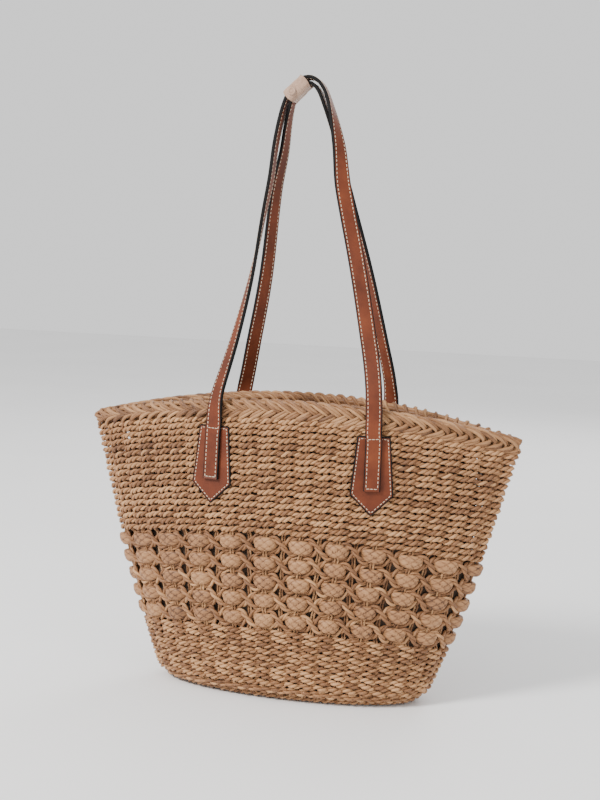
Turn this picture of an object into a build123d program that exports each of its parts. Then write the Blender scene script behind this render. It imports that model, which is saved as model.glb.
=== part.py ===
"""Woven straw beach bag with leather shoulder handles, in millimetres.

The bag stands on its base with its opening up. X runs along the mouth, -Y is the front,
Z is up, and the origin is the middle of the base.
"""

import os
from math import atan, cos, pi, radians, sin, sqrt

from build123d import *

os.makedirs("parts", exist_ok=True)

# Body of the bag
rim_width = 460
mouth_depth = 104
base_length = 278
base_depth = 112
body_height = 308
rim_drop = 27
belly = 5
edge_round = 20

# Woven wall: insets are measured inwards from the proudest surface
wall_inset = 1
wall_thickness = 5
rim_inset = 0
cord_inset = 3.1
ribbon_thickness = 2.8
seam_gap = 0.2

# Heights of the woven bands, measured up the middle of the front
edge_braid_top = 15
openwork_tab_gap = 26
rim_braid_height = 23
wale_height = 9
ribbon_count = 5
ribbon_pitch = 19.4
ribbon_width = 15
base_thickness = 5

# Lining and stiffener
board_thickness = 2.5
lining_thickness = 1
lining_clearance = 0.3
lining_drop = 30
hem_height = 5
hem_thickness = 2.4
pocket_width = 160
pocket_drop = 43
pocket_height = 115

# Tabs
tab_spacing = 164
tab_shift = 4
tab_drop = 29
tab_top_width = 33
tab_wide = 43.5
tab_shoulder = 59
tab_length = 80
tab_thickness = 2.4
tab_rounding = 1.5
tab_clearance = 0.5

# Handle straps
strap_width = 16.5
strap_layer = 1.7
strap_overlap = 58
layer_gap = 0.1
fold_gap = 0.15
fold_offset = 0.2
handle_height = 630.5
handle_apex = -4
stack_gap = 2.6
stack_start = 110
stack_rise = 48
apex_spread = 1.0
straight_top = 20
stations = 49
apex_crowding = 0.65

# Wrap around both handles, with its snap
wrap_length = 25
wrap_wall = 1.6
wrap_side_room = 5.3
wrap_flat_room = 5.9
wrap_angle = 44
wrap_drop = 9.35
wrap_rounding = 3.6
wrap_shift = -12.6
wrap_split = 0.3
snap_diameter = 8
snap_thickness = 1.2
snap_shift = 5

# Insets that follow from the sizes above
inner_inset = wall_inset + wall_thickness
lining_inset = inner_inset + lining_clearance
board_low = base_thickness + seam_gap
lining_low = board_low + board_thickness + lining_clearance
corner_height = body_height - rim_drop
rim_braid_low = body_height - rim_braid_height
wale_low = rim_braid_low - wale_height
lining_top = body_height - lining_drop
pocket_high = lining_top - pocket_drop
pocket_low = pocket_high - pocket_height
tab_top = body_height - tab_drop
openwork_high = tab_top - tab_length - openwork_tab_gap
openwork_low = openwork_high - ribbon_count * ribbon_pitch
wrap_across = 4 * strap_layer + stack_gap + wrap_flat_room + 2 * wrap_wall
wrap_depth = strap_width + wrap_side_room + 2 * wrap_wall


def drop(level):
    """How far a row at this height in the middle lies lower at the side corners."""
    return rim_drop * (max(level, 0) / body_height) ** 0.45


def half_width(z):
    """Half of the body's length at height z, without the rounding of the bottom edge."""
    rise = max(z, 0) / corner_height
    return base_length / 2 + (rim_width - base_length) / 2 * rise**0.82


def half_depth(z):
    """Half of the body's depth at height z in the middle of the front."""
    rise = z / body_height
    straight = base_depth / 2 + (mouth_depth - base_depth) / 2 * rise
    return straight + belly * sin(pi * min(rise, 1))


def crease(z):
    """0 for an elliptical section, 1 for a lens with creased side edges."""
    return min(max(z, 0) / corner_height, 1) ** 1.2


def rounding(z):
    """How far the rounded bottom edge draws the section in at height z."""
    below = max(edge_round - z, 0) / edge_round
    return edge_round * (1 - sqrt(1 - min(below, 1) ** 2))


def half_section(z, inset):
    """Half length and half depth of the section at height z, moved inwards by inset."""
    length, depth = half_width(z), half_depth(z)
    corner = 1 / sin(atan(2 * depth / length))
    stretch = 1 + (corner - 1) * crease(z) ** 1.5
    return length - rounding(z) - inset * stretch, depth - rounding(z) - inset


def front_depth(x, z, inset):
    """Distance of the front wall from the middle plane at x and z."""
    length, depth = half_section(z, inset)
    along = sqrt(max(1 - (x / length) ** 2, 0))
    return depth * along ** (1 + crease(z))


def section_face(z, inset):
    """One level section of the body as a sketch, of a front and a back curve."""
    length, depth = half_section(z, inset)
    power = 1 + crease(z)
    turns = [pi * i / 10 for i in range(11)]
    front = [(-length * cos(a), -depth * max(sin(a), 0) ** power) for a in turns]
    back = [(x, -y) for x, y in front]
    with BuildSketch(Plane.XY.offset(z)) as face:
        with BuildLine():
            Spline(*front)
            Spline(*back)
        make_face()
    return face.sketch


section_shares = [0.178, 0.338, 0.534, 0.765]
section_heights = [0, 0.15 * edge_round, 0.45 * edge_round, edge_round]
section_heights += [corner_height * share for share in section_shares]
section_heights += [corner_height, body_height + 22]


def body_at(inset):
    """The body's closed outer shape, moved inwards by inset and open-ended above the rim."""
    with BuildPart() as body:
        add([section_face(z, inset) for z in section_heights])
        loft(ruled=True)
    return body.part


def arch(level):
    """Points of the parabola that a row of the weave follows across the bag."""
    reach = 0.6 * rim_width
    fall = drop(level) * (reach / half_width(level - drop(level))) ** 2
    return [(-reach, level - fall), (0, level + fall), (reach, level - fall)]


def band_region(low, high):
    """Everything between two arched rows, from the front to the back."""
    lower, upper = arch(low), arch(high)
    with BuildPart() as region:
        with BuildSketch(Plane.XZ):
            with BuildLine():
                Bezier(*lower)
                Line(lower[-1], upper[-1])
                Bezier(*upper)
                Line(upper[0], lower[0])
            make_face()
        extrude(amount=base_depth + mouth_depth, both=True)
    return region.part


def save(part, name):
    """Labels one finished piece and writes its STEP file."""
    part.label = name
    export_step(part, f"parts/{name}.step")


proud = body_at(rim_inset)
outside = body_at(wall_inset)
ribbon_back = body_at(ribbon_thickness)
cord_face = body_at(cord_inset)
inside = body_at(inner_inset)
lining_face = body_at(lining_inset)
lining_back = body_at(lining_inset + lining_thickness)


def band_between(outer, inner, low, high):
    """A ring of wall between two shapes of the body and two arched rows."""
    with BuildPart() as band:
        add(outer)
        add(band_region(low + seam_gap / 2, high - seam_gap / 2), mode=Mode.INTERSECT)
        add(inner, mode=Mode.SUBTRACT)
    return band.part


def woven_band(outer, inner, name, low, high):
    """Writes one band of the wall."""
    save(band_between(outer, inner, low, high), name)


woven_band(outside, inside, "lower_twined_wall", edge_braid_top, openwork_low)
woven_band(cord_face, inside, "openwork_cords", openwork_low, openwork_high)
woven_band(outside, inside, "upper_twined_wall", openwork_high, wale_low)
woven_band(outside, inside, "rim_wale", wale_low, rim_braid_low)
woven_band(proud, inside, "rim_braid", rim_braid_low, body_height)

for number in range(ribbon_count):
    middle = openwork_high - ribbon_pitch * (number + 0.5)
    woven_band(
        proud,
        ribbon_back,
        f"plaited_ribbon_{number + 1}",
        middle - ribbon_width / 2,
        middle + ribbon_width / 2,
    )

# Braid along the bottom edge: the rounded corner of the wall, standing on the floor
woven_band(outside, inside, "bottom_braid", -base_depth, edge_braid_top)


def level_slab(face_inset, low, high):
    """A level slab of the body's shape between two heights."""
    with BuildPart() as slab:
        add(body_at(face_inset))
        with BuildSketch(Plane.XY.offset(low)):
            Rectangle(2 * rim_width, 4 * base_depth)
        extrude(amount=high - low, mode=Mode.INTERSECT)
    return slab.part


save(level_slab(inner_inset + seam_gap, 0, base_thickness), "woven_base")
save(level_slab(inner_inset + 1, board_low, board_low + board_thickness), "base_board")

# Lining: one fabric bag with a floor
with BuildPart() as lining:
    add(lining_face)
    with BuildSketch(Plane.XY.offset(lining_low)):
        Rectangle(2 * rim_width, 4 * base_depth)
    extrude(amount=body_height, mode=Mode.INTERSECT)
    add(band_region(-body_height, lining_top), mode=Mode.INTERSECT)
    with BuildPart(mode=Mode.PRIVATE) as hollow:
        add(lining_back)
        with BuildSketch(Plane.XY.offset(lining_low + lining_thickness)):
            Rectangle(2 * rim_width, 4 * base_depth)
        extrude(amount=body_height, mode=Mode.INTERSECT)
    add(hollow.part, mode=Mode.SUBTRACT)
save(lining.part, "lining")

hem_back = body_at(lining_inset + hem_thickness)
woven_band(lining_face, hem_back, "lining_hem", lining_top, lining_top + hem_height)

# Slip pocket on the lining's back wall
pocket_inset = lining_inset + lining_thickness + lining_clearance
pocket_face = body_at(pocket_inset)
pocket_back = body_at(pocket_inset + lining_thickness)
with BuildPart() as slip_pocket:
    add(band_between(pocket_face, pocket_back, pocket_low, pocket_high))
    with Locations((0, base_depth, body_height / 2)):
        Box(pocket_width, 2 * base_depth, 2 * body_height, mode=Mode.INTERSECT)
save(slip_pocket.part, "slip_pocket")


# Tabs: flat leather shields, each on the plane that touches the wall behind its middle
def tab_plane(side, along):
    """Plane on the wall behind a tab: side -1 is the front, along -1 is the left."""
    x = tab_shift + along * tab_spacing / 2
    z = tab_top - tab_length / 2
    step = 5.0
    here = front_depth(x, z, wall_inset)
    across = (front_depth(x + step, z, wall_inset) - here) / step
    upwards = (front_depth(x, z + step, wall_inset) - here) / step
    outward = Vector(-across, side, -upwards).normalized()
    middle = Vector(x, side * here, z) + outward * tab_clearance
    upright = Vector(0, 0, 1) - outward * outward.Z
    sideways = upright.cross(outward)
    return Plane(middle, x_dir=sideways, z_dir=outward)


def tab_corners():
    """Corners of the shield, its own height centred on the plane's origin."""
    top = tab_length / 2
    shoulder = top - tab_shoulder
    right = [(tab_top_width / 2, top), (tab_wide / 2, shoulder)]
    left = [(-x, y) for x, y in reversed(right)]
    return [*right, (0, -top), *left]


def strap_front(side, along):
    """Distance of the sewn strap's outer face from the middle plane, at the tab's top."""
    plane = tab_plane(side, along)
    outer = tab_thickness + layer_gap + 2 * strap_layer
    corner = plane.from_local_coords((0, tab_length / 2, outer))
    return abs(corner.Y)


def fold_depth():
    """Distance of the fold line from the middle plane, clear of the strap's proudest corner."""
    outer = tab_thickness + layer_gap + 2 * strap_layer
    corners = [(step * strap_width / 2, tab_length / 2, outer) for step in (-1, 1)]
    planes = [tab_plane(-1, along) for along in (-1, 1)]
    depths = [abs(plane.from_local_coords(corner).Y) for plane in planes for corner in corners]
    return fold_offset + max(depths)


places = {"front_left": (-1, -1), "front_right": (-1, 1), "back_left": (1, -1), "back_right": (1, 1)}
for place, (side, along) in places.items():
    with BuildPart() as tab:
        with BuildSketch(tab_plane(side, along)) as shield:
            with BuildLine():
                Polyline(*tab_corners(), close=True)
            make_face()
            fillet(shield.vertices(), tab_rounding)
        extrude(amount=tab_thickness)
    save(tab.part, f"tab_{place}")

    with BuildPart() as strap_end:
        with BuildSketch(tab_plane(side, along).offset(tab_thickness + layer_gap)):
            with Locations((0, tab_length / 2 - strap_overlap / 2 - fold_gap)):
                Rectangle(strap_width, strap_overlap - fold_gap)
        extrude(amount=2 * strap_layer)
    save(strap_end.part, f"strap_end_{place}")


# Handle straps: two leather layers, flat on the tabs and turned edge-on towards the apex
tab_lean = strap_front(-1, -1) - strap_layer
rest_height = body_height + 4


def smooth(value):
    """0 below 0, 1 above 1, with a soft start and end."""
    value = min(max(value, 0), 1)
    return value * value * (3 - 2 * value)


leg_height = handle_height - tab_top
half_span = tab_spacing / 2


def handle_point(across, rise):
    """A point of a leg: shares of half the tabs' spacing and of the leg's height."""
    shift = tab_shift * (1 - rise)
    return Vector(shift + across * half_span, 0, tab_top + fold_gap + rise * leg_height)


def crown_point(across, below):
    """A point near the apex, across from it and below it."""
    return Vector(handle_apex + across, 0, handle_height + fold_gap - below)


handle_points = [
    handle_point(-1, 0),
    handle_point(-0.99, 0.057),
    handle_point(-0.92, 0.138),
    handle_point(-0.78, 0.278),
    handle_point(-0.63, 0.458),
    handle_point(-0.53, 0.633),
    handle_point(-0.42, 0.8),
    crown_point(-23.5, 30),
    crown_point(-18.5, 15),
    crown_point(-10.8, 5),
    crown_point(0, 0),
    crown_point(8.9, 5),
    crown_point(16.3, 18),
    crown_point(22.5, 36),
    handle_point(0.335, 0.794),
    handle_point(0.48, 0.653),
    handle_point(0.655, 0.493),
    handle_point(0.89, 0.244),
    handle_point(0.98, 0.129),
    handle_point(1, 0.057),
    handle_point(1, 0),
]
handle_line = Spline(*handle_points, tangents=[(0, 0, 1), (0, 0, -1)])


# Turn of each leg about its length, in degrees, at shares of its rise
leg_turns = {
    ("front", "left"): [(0, 0), (0.03, 12), (0.1, 35), (0.25, 50), (0.4, 63), (0.55, 80), (0.7, 90)],
    ("front", "right"): [(0, 0), (0.1, 8), (0.5, 16), (0.7, 28), (0.82, 58), (0.94, 90)],
    ("back", "left"): [(0, 0), (0.05, 8), (0.12, 32), (0.5, 54), (0.72, 66), (0.94, 90)],
    ("back", "right"): [(0, 0), (0.05, 8), (0.12, 32), (0.4, 44), (0.72, 66), (0.94, 90)],
}


def turn_at(turns, rise):
    """Turn at a share of the rise, straight from one row of the list to the next."""
    for (low, first), (high, last) in zip(turns, turns[1:]):
        if rise <= high:
            return first + (last - first) * (rise - low) / (high - low)
    return turns[-1][1]


def handle_frame(share, side):
    """Place, outward face direction and tangent of a handle at a share of its length."""
    place = handle_line.position_at(share)
    along = handle_line.tangent_at(share)
    outward = Vector(-along.Z, 0, along.X)
    near_top = smooth((place.Z - (handle_height - stack_start)) / stack_rise)
    stack = -side * (strap_layer + stack_gap / 2) * near_top
    lean = smooth((place.Z - rest_height) / 60) * 0.1
    climb = (place.Z - rest_height) / (handle_height - straight_top - rest_height)
    lean = lean + 0.9 * min(max(climb, 0), 1)
    depth = side * (tab_lean * (1 - lean) + apex_spread * lean)
    place = Vector(place.X, depth, place.Z) + outward * stack
    rise = (place.Z - tab_top) / (handle_height - tab_top)
    end = "left" if share < 0.5 else "right"
    turn = turn_at(leg_turns[("front" if side < 0 else "back", end)], rise)
    facing = Vector(0, side, 0) * cos(radians(turn)) + outward * sin(radians(turn))
    return place, facing, along


def station_shares():
    """Shares of the handle's length where its section is set, closer together at the apex."""
    even = [i / (stations - 1) for i in range(stations)]
    return [share + apex_crowding * sin(2 * pi * share) / (2 * pi) for share in even]


def strap_section(frames, i, side_step, upwards):
    """Plane across the strap at station i, moved side_step off the strap's middle."""
    place, facing, _ = frames[i]
    before = frames[max(i - 1, 0)][0]
    after = frames[min(i + 1, stations - 1)][0]
    tangent = (after - before).normalized()
    if i in (0, stations - 1):
        tangent = Vector(0, 0, tangent.Z).normalized()
    facing = (facing - tangent * facing.dot(tangent)).normalized()
    sideways = facing.cross(tangent)
    return Plane(place + facing * side_step, x_dir=sideways, z_dir=tangent * upwards)


def strap_run(frames, numbers, low, high, upwards):
    """One leg of a leather layer from its tab to the apex, between two distances
    from the strap's middle. upwards is 1 where the stations climb, or else -1.
    """
    with BuildPart() as run:
        for i in numbers:
            with BuildSketch(strap_section(frames, i, (low + high) / 2, upwards)):
                Rectangle(strap_width, high - low)
        loft(ruled=True)
    return run.part


def strap_layer_part(side, low, high):
    """One leather layer of a handle: two legs that meet face to face at the apex."""
    frames = [handle_frame(share, side) for share in station_shares()]
    half = stations // 2
    left = strap_run(frames, range(half + 1), low, high, 1)
    right = strap_run(frames, range(stations - 1, half - 1, -1), low, high, -1)
    return Compound(children=[*left.solids(), *right.solids()])


for side, name in ((-1, "front"), (1, "back")):
    save(strap_layer_part(side, layer_gap / 2, strap_layer), f"{name}_handle_outer_leather")
    save(strap_layer_part(side, -strap_layer, -layer_gap / 2), f"{name}_handle_inner_leather")

# Wrap: a flat suede sleeve around both handles beside the apex, open at its snap
wrap_middle = Vector(wrap_shift + handle_apex, 0, handle_height - wrap_drop)
wrap_axis = Vector(cos(radians(wrap_angle)), 0, sin(radians(wrap_angle)))
wrap_up = Vector(-wrap_axis.Z, 0, wrap_axis.X)
for side, name in ((-1, "front"), (1, "back")):
    with BuildPart() as sleeve:
        start = wrap_middle - wrap_axis * (wrap_length / 2)
        with BuildSketch(Plane(start, x_dir=wrap_up, z_dir=wrap_axis)):
            RectangleRounded(wrap_across, wrap_depth, wrap_rounding)
            RectangleRounded(
                wrap_across - 2 * wrap_wall,
                wrap_depth - 2 * wrap_wall,
                wrap_rounding - wrap_wall,
                mode=Mode.SUBTRACT,
            )
        extrude(amount=wrap_length)
        with Locations((0, side * (wrap_depth + wrap_split) / 2, handle_height)):
            Box(8 * wrap_length, wrap_depth, 8 * wrap_length, mode=Mode.INTERSECT)
    save(sleeve.part, f"wrap_{name}")

# Snap: a round cap on the wrap's front
snap_middle = wrap_middle - wrap_axis * snap_shift + Vector(0, -wrap_depth / 2 - layer_gap, 0)
with BuildPart() as snap_cap:
    with BuildSketch(Plane(snap_middle, x_dir=wrap_axis, z_dir=(0, -1, 0))):
        Circle(snap_diameter / 2)
    extrude(amount=snap_thickness)
    fillet(snap_cap.edges().filter_by(GeomType.CIRCLE).sort_by(Axis.Y)[0], snap_thickness / 2)
save(snap_cap.part, "snap_cap")

print("hinge height", tab_top, "hinge depth", fold_depth())
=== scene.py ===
"""Looks of the woven straw beach bag: strand geometry, leather, suede and lining.

Lengths in this script are millimetres until a mesh is made, and the axes are the frame's:
+X along the mouth, -Y the front, +Z up.
"""

import math

import bpy
import numpy as np
from mathutils import Matrix, Vector


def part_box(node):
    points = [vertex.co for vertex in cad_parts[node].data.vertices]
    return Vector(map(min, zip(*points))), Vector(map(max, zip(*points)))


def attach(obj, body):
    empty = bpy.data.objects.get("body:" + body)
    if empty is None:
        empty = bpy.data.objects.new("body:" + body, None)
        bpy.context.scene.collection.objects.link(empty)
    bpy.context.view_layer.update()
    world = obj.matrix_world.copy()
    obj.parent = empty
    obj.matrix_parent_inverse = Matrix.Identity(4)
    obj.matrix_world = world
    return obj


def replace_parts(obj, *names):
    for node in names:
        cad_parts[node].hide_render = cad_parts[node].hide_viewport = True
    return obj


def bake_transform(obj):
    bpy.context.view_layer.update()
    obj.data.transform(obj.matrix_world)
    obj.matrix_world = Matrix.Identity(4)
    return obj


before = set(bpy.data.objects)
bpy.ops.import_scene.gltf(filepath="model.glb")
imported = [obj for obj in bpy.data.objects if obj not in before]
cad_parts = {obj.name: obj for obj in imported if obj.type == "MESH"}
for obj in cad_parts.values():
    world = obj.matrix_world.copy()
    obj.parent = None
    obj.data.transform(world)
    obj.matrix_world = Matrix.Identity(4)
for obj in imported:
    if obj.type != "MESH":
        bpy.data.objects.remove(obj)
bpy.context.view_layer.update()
MM = 0.001
rng = np.random.default_rng(7)

# ---- sizes from the frame


def node_box(node):
    """Lowest and highest corners of a CAD node, in millimetres."""
    low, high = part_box(node)
    return np.array(low) / MM, np.array(high) / MM


rim_low, rim_high = node_box("rim_braid")
rim_width = rim_high[0] - rim_low[0]
body_height = rim_high[2]
tab_top = node_box("tab_front_right")[1][2]

# The body's shape, as the CAD solids have it
mouth_depth = 104
base_length = 278
base_depth = 112
rim_drop = 27
belly = 5
edge_round = 20
corner_height = body_height - rim_drop

# Depths into the wall, from its proudest surface
wall_middle = 3.5
wall_back = 6.0
lining_depth = 7.6

# Bands of the weave, as heights up the middle of the front
bottom_rope = 12.2
lower_rows = (20.0, 72.5, 9)
openwork = (76, 173)
upper_rows = (176.6, 275.6, 16)
wale_levels = (282.1, 288.0)
braid_middle = 296.5
stake_count = 44
column_count = 22
puff_rows = 5

# How far a cord's two plies stand from its middle, as a share of their radius
ply_gap = 0.92

# Radius of the plain cords: upright stakes, the thicker ones at the corners, the rim's filler
# and the lining's hem
stake_radius = 1.3
corner_stake_radius = 1.7
filler_radius = 2.7
hem_radius = 2.0

# Plies of the openwork's cords, the length of one twist in them, and the braid's step
openwork_ply = 1.55
openwork_twist = 21
braid_step = 11.9


def half_width(z):
    rise = np.maximum(z, 0) / corner_height
    return base_length / 2 + (rim_width - base_length) / 2 * rise**0.82


def half_depth(z):
    rise = z / body_height
    straight = base_depth / 2 + (mouth_depth - base_depth) / 2 * rise
    return straight + belly * np.sin(np.pi * np.clip(rise, 0, 1))


def crease(z):
    return np.clip(np.maximum(z, 0) / corner_height, 0, 1) ** 1.2


def rounding(z):
    below = np.clip((edge_round - z) / edge_round, 0, 1)
    return edge_round * (1 - np.sqrt(1 - below**2))


def drop(level):
    return rim_drop * (np.maximum(level, 0.01) / body_height) ** 0.45


def section_point(turn, level, inset):
    """Point of the body at an angle round it and a level, moved inwards by inset."""
    z = level - drop(level) * np.cos(turn) ** 2
    length, depth = half_width(z), half_depth(z)
    corner = 1 / np.sin(np.arctan(2 * depth / length))
    stretch = 1 + (corner - 1) * crease(z) ** 1.5
    length = length - rounding(z) - inset * stretch
    depth = depth - rounding(z) - inset
    side = np.sin(turn)
    y = depth * side * np.abs(side) ** crease(z)
    return np.stack([length * np.cos(turn), y, z], axis=-1)


def walk(points):
    """Distance walked along a line at each of its points."""
    return np.concatenate([[0], np.cumsum(np.linalg.norm(np.diff(points, axis=0), axis=1))])


# Angle round the body at equal steps of length, from the left corner over the front
level_grid = np.linspace(-8, 316, 55)
share_grid = np.linspace(0, 1, 481)
dense = np.linspace(np.pi, 3 * np.pi, 1441)
turn_table = []
round_length = []
for grid_level in level_grid:
    ring = section_point(dense, np.full_like(dense, grid_level), wall_middle)
    walked = walk(ring)
    round_length.append(walked[-1])
    turn_table.append(np.interp(share_grid, walked / walked[-1], dense))
turn_table = np.array(turn_table)
round_length = np.array(round_length)


def turn_at(share, level):
    """Angle round the body at a share of its length round, at a level."""
    share = share % 1.0
    last_row, last_column = len(level_grid) - 1, len(share_grid) - 1
    row = (level - level_grid[0]) / (level_grid[1] - level_grid[0])
    row = np.clip(row, 0, last_row - 0.001)
    column = np.clip(share * last_column, 0, last_column - 0.001)
    i, j = row.astype(int), column.astype(int)
    f, g = row - i, column - j
    low = turn_table[i, j] * (1 - g) + turn_table[i, j + 1] * g
    high = turn_table[i + 1, j] * (1 - g) + turn_table[i + 1, j + 1] * g
    return low * (1 - f) + high * f


def around(level):
    """Length once round the body at a level."""
    return float(np.interp(level, level_grid, round_length))


def wall(share, level, depth):
    """Points in the wall and their outward directions."""
    share, level, depth = np.broadcast_arrays(
        np.asarray(share, float), np.asarray(level, float), np.asarray(depth, float)
    )
    turn = turn_at(share, level)
    outer = section_point(turn, level, 0.0)
    inner = section_point(turn, level, wall_back)
    outward = outer - inner
    outward /= np.linalg.norm(outward, axis=-1, keepdims=True)
    return outer + (inner - outer) * (depth / wall_back)[..., None], outward


# ---- mesh helpers


def unit(vectors):
    return vectors / np.maximum(np.linalg.norm(vectors, axis=-1, keepdims=True), 1e-9)


def tangents(points, closed):
    if closed:
        return unit(np.roll(points, -1, axis=0) - np.roll(points, 1, axis=0))
    return unit(np.gradient(points, axis=0))


def directions(points, outward, closed):
    """Directions out of and across a line of points."""
    along = tangents(points, closed)
    normal = unit(outward - along * np.sum(outward * along, axis=1, keepdims=True))
    return normal, np.cross(along, normal)


def grid_faces(rows, columns, closed, start=0, flip=False, looped=False):
    """Quads of a grid of points: closed along its columns, looped from end to start, or not."""
    i = np.arange(rows if looped else rows - 1)[:, None]
    j = np.arange(columns if closed else columns - 1)[None, :]
    here, after, right = i * columns, (i + 1) % rows * columns, (j + 1) % columns
    corners = [here + j, here + right, after + right, after + j]
    return start + np.stack(corners[::-1] if flip else corners, axis=-1).reshape(-1, 4)


def grid_map(rows, columns):
    """Map corners of a closed grid's quads, from 0 to 1 both ways."""
    i, j = np.arange(rows)[:, None], np.arange(columns)[None, :]
    u0, u1 = (i + 0 * j) / rows, (i + 1 + 0 * j) / rows
    v0, v1 = (j + 0 * i) / columns, (j + 1 + 0 * i) / columns
    across, up = np.stack([u0, u0, u1, u1], -1), np.stack([v0, v1, v1, v0], -1)
    return np.stack([across, up], axis=-1).reshape(-1, 2)


def two_layer_faces(rows, columns):
    """Faces of a thin sheet: two grids of points and the border between them."""
    border = np.concatenate([
        np.arange(columns), np.arange(1, rows) * columns + columns - 1,
        (rows - 1) * columns + np.arange(columns - 2, -1, -1),
        np.arange(rows - 2, 0, -1) * columns,
    ])
    offset, after = rows * columns, np.roll(border, -1)
    edge = np.stack([border, border + offset, after + offset, after], axis=-1)
    face, back = grid_faces(rows, columns, False), grid_faces(rows, columns, False, offset, True)
    return np.concatenate([face, back, edge])


def soft(value):
    """A smooth step from 0 to 1."""
    value = np.clip(value, 0, 1)
    return value * value * (3 - 2 * value)


class Strands:
    """Collects tubes and turns them into one mesh piece."""

    def __init__(self):
        self.tubes = []

    def tube(self, points, outward, radius, closed=False, sides=7, spin=0.0, flat=1.0):
        """Adds a tube. flat is its thickness outward as a share of its width."""
        count = len(points)
        normal, across = directions(points, outward, closed)
        angle = np.linspace(0, 2 * np.pi, sides, endpoint=False)[None, :]
        walked = walk(points)
        wave = rng.uniform(0, 6.28, 3)
        rough = 0.07 * np.sin(2 * angle + walked[:, None] * 0.55 + wave[0])
        rough = rough + 0.05 * np.sin(3 * angle - walked[:, None] * 0.9 + wave[1])
        rough = rough + 0.05 * np.sin(walked[:, None] * 0.37 + wave[2])
        base = np.broadcast_to(np.asarray(radius, float), (count,))[:, None]
        size = base * (1 + rough)
        if closed:
            fade = np.clip(np.minimum(np.arange(count), np.arange(count)[::-1]) / 12, 0, 1)
            size = base + (size - base) * fade[:, None]
        spin = np.broadcast_to(np.asarray(spin, float), (count,))[:, None]
        c, s = np.cos(spin), np.sin(spin)
        out = (np.cos(angle) * size)[..., None] * (normal * c + across * s)[:, None, :] * flat
        side = (np.sin(angle) * size)[..., None] * (across * c - normal * s)[:, None, :]
        verts = points[:, None, :] + out + side
        self.tubes.append((verts, closed, walked, rng.uniform(0, 1)))

    def cord(self, points, outward, ply, pitch):
        """Adds a closed cord of two plies twisted round each other."""
        normal, across = directions(points, outward, True)
        walked = walk(points)
        total = walked[-1] + np.linalg.norm(points[0] - points[-1])
        turns = max(round(total / pitch), 1)
        phase = -(2 * np.pi * turns * walked / total + rng.uniform(0, 6.28))
        ply = np.broadcast_to(np.asarray(ply, float), (len(points),))
        for half in (0, np.pi):
            c, s = np.cos(phase + half)[:, None], np.sin(phase + half)[:, None]
            away = c * normal + s * across
            self.tube(points + (ply * ply_gap)[:, None] * away, away, ply, True)

    def bundle(self, points, outward, count, radius, spread):
        """Adds strands lying side by side, as one flat band."""
        normal, across = directions(points, outward, False)
        turn = 0.25 * np.sin(np.linspace(0, 3, len(points)) + rng.uniform(0, 6.28))
        for k in range(count):
            off = (k - (count - 1) / 2) * spread
            lift = rng.uniform(-0.15, 0.15) - 0.12 * abs(off)
            centre = points + off * (across * np.cos(turn)[:, None])
            centre = centre + (off * np.sin(turn) + lift)[:, None] * normal
            self.tube(centre, outward, radius * rng.uniform(0.93, 1.05))

    def piece(self, name, material):
        """Makes the mesh object, with a strand map for the material and a bake map."""
        count = len(self.tubes)
        longest = max(t[2][-1] for t in self.tubes)
        columns = max(1, int(round(math.sqrt(count * 9 / max(longest, 9)))))
        rows = math.ceil(count / columns)
        verts, faces, strand, bake, tones = [], [], [], [], []
        start = 0
        for number, (ring, closed, walked, tone) in enumerate(self.tubes):
            n, k = ring.shape[:2]
            verts.append(ring.reshape(-1, 3))
            faces.append(grid_faces(n, k, True, start, looped=closed))
            corners = grid_map(n if closed else n - 1, k)
            length = walked[-1] / 10
            strand.append(corners * [length, 1.0] + [tone * 37.0, 0])
            cell = np.array([number % columns, number // columns])
            inset = 0.04 + corners * 0.92
            bake.append((cell + inset) / [columns, rows])
            tones.append(np.full(n * k, tone))
            start += n * k
        obj = make_mesh(name, np.concatenate(verts), np.concatenate(faces), [material])
        add_uv(obj, "OFBake", np.concatenate(bake))
        add_uv(obj, "strand", np.concatenate(strand))
        add_tone(obj, np.concatenate(tones))
        return obj


def make_mesh(name, verts, faces, materials, indices=None, smooth=True):
    """Makes an object from points in millimetres and faces of equal corner count."""
    mesh = bpy.data.meshes.new(name)
    faces = np.asarray(faces)
    corner_count = faces.shape[1]
    mesh.vertices.add(len(verts))
    mesh.vertices.foreach_set("co", (np.asarray(verts) * MM).astype(np.float32).ravel())
    mesh.loops.add(faces.size)
    mesh.loops.foreach_set("vertex_index", faces.astype(np.int32).ravel())
    mesh.polygons.add(len(faces))
    starts = np.arange(len(faces), dtype=np.int32) * corner_count
    mesh.polygons.foreach_set("loop_start", starts)
    mesh.polygons.foreach_set("use_smooth", np.full(len(faces), smooth))
    for material in materials:
        mesh.materials.append(material)
    if indices is not None:
        mesh.polygons.foreach_set("material_index", np.asarray(indices, dtype=np.int32))
    mesh.update(calc_edges=True)
    mesh.validate()
    obj = bpy.data.objects.new(name, mesh)
    bpy.context.scene.collection.objects.link(obj)
    return obj


def add_uv(obj, name, coordinates):
    layer = obj.data.uv_layers.new(name=name)
    layer.data.foreach_set("uv", coordinates.astype(np.float32).ravel())


def add_tone(obj, tones):
    """Gives each point the tone that the straw material reads."""
    layer = obj.data.attributes.new("tone", "FLOAT", "POINT")
    layer.data.foreach_set("value", tones.astype(np.float32).ravel())


def put(obj, body, slot, *nodes):
    """Says which body a piece rides on and the CAD nodes it replaces; its slot is not used."""
    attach(obj, body)
    if nodes:
        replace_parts(obj, *nodes)
    return obj


# ---- materials


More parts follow.
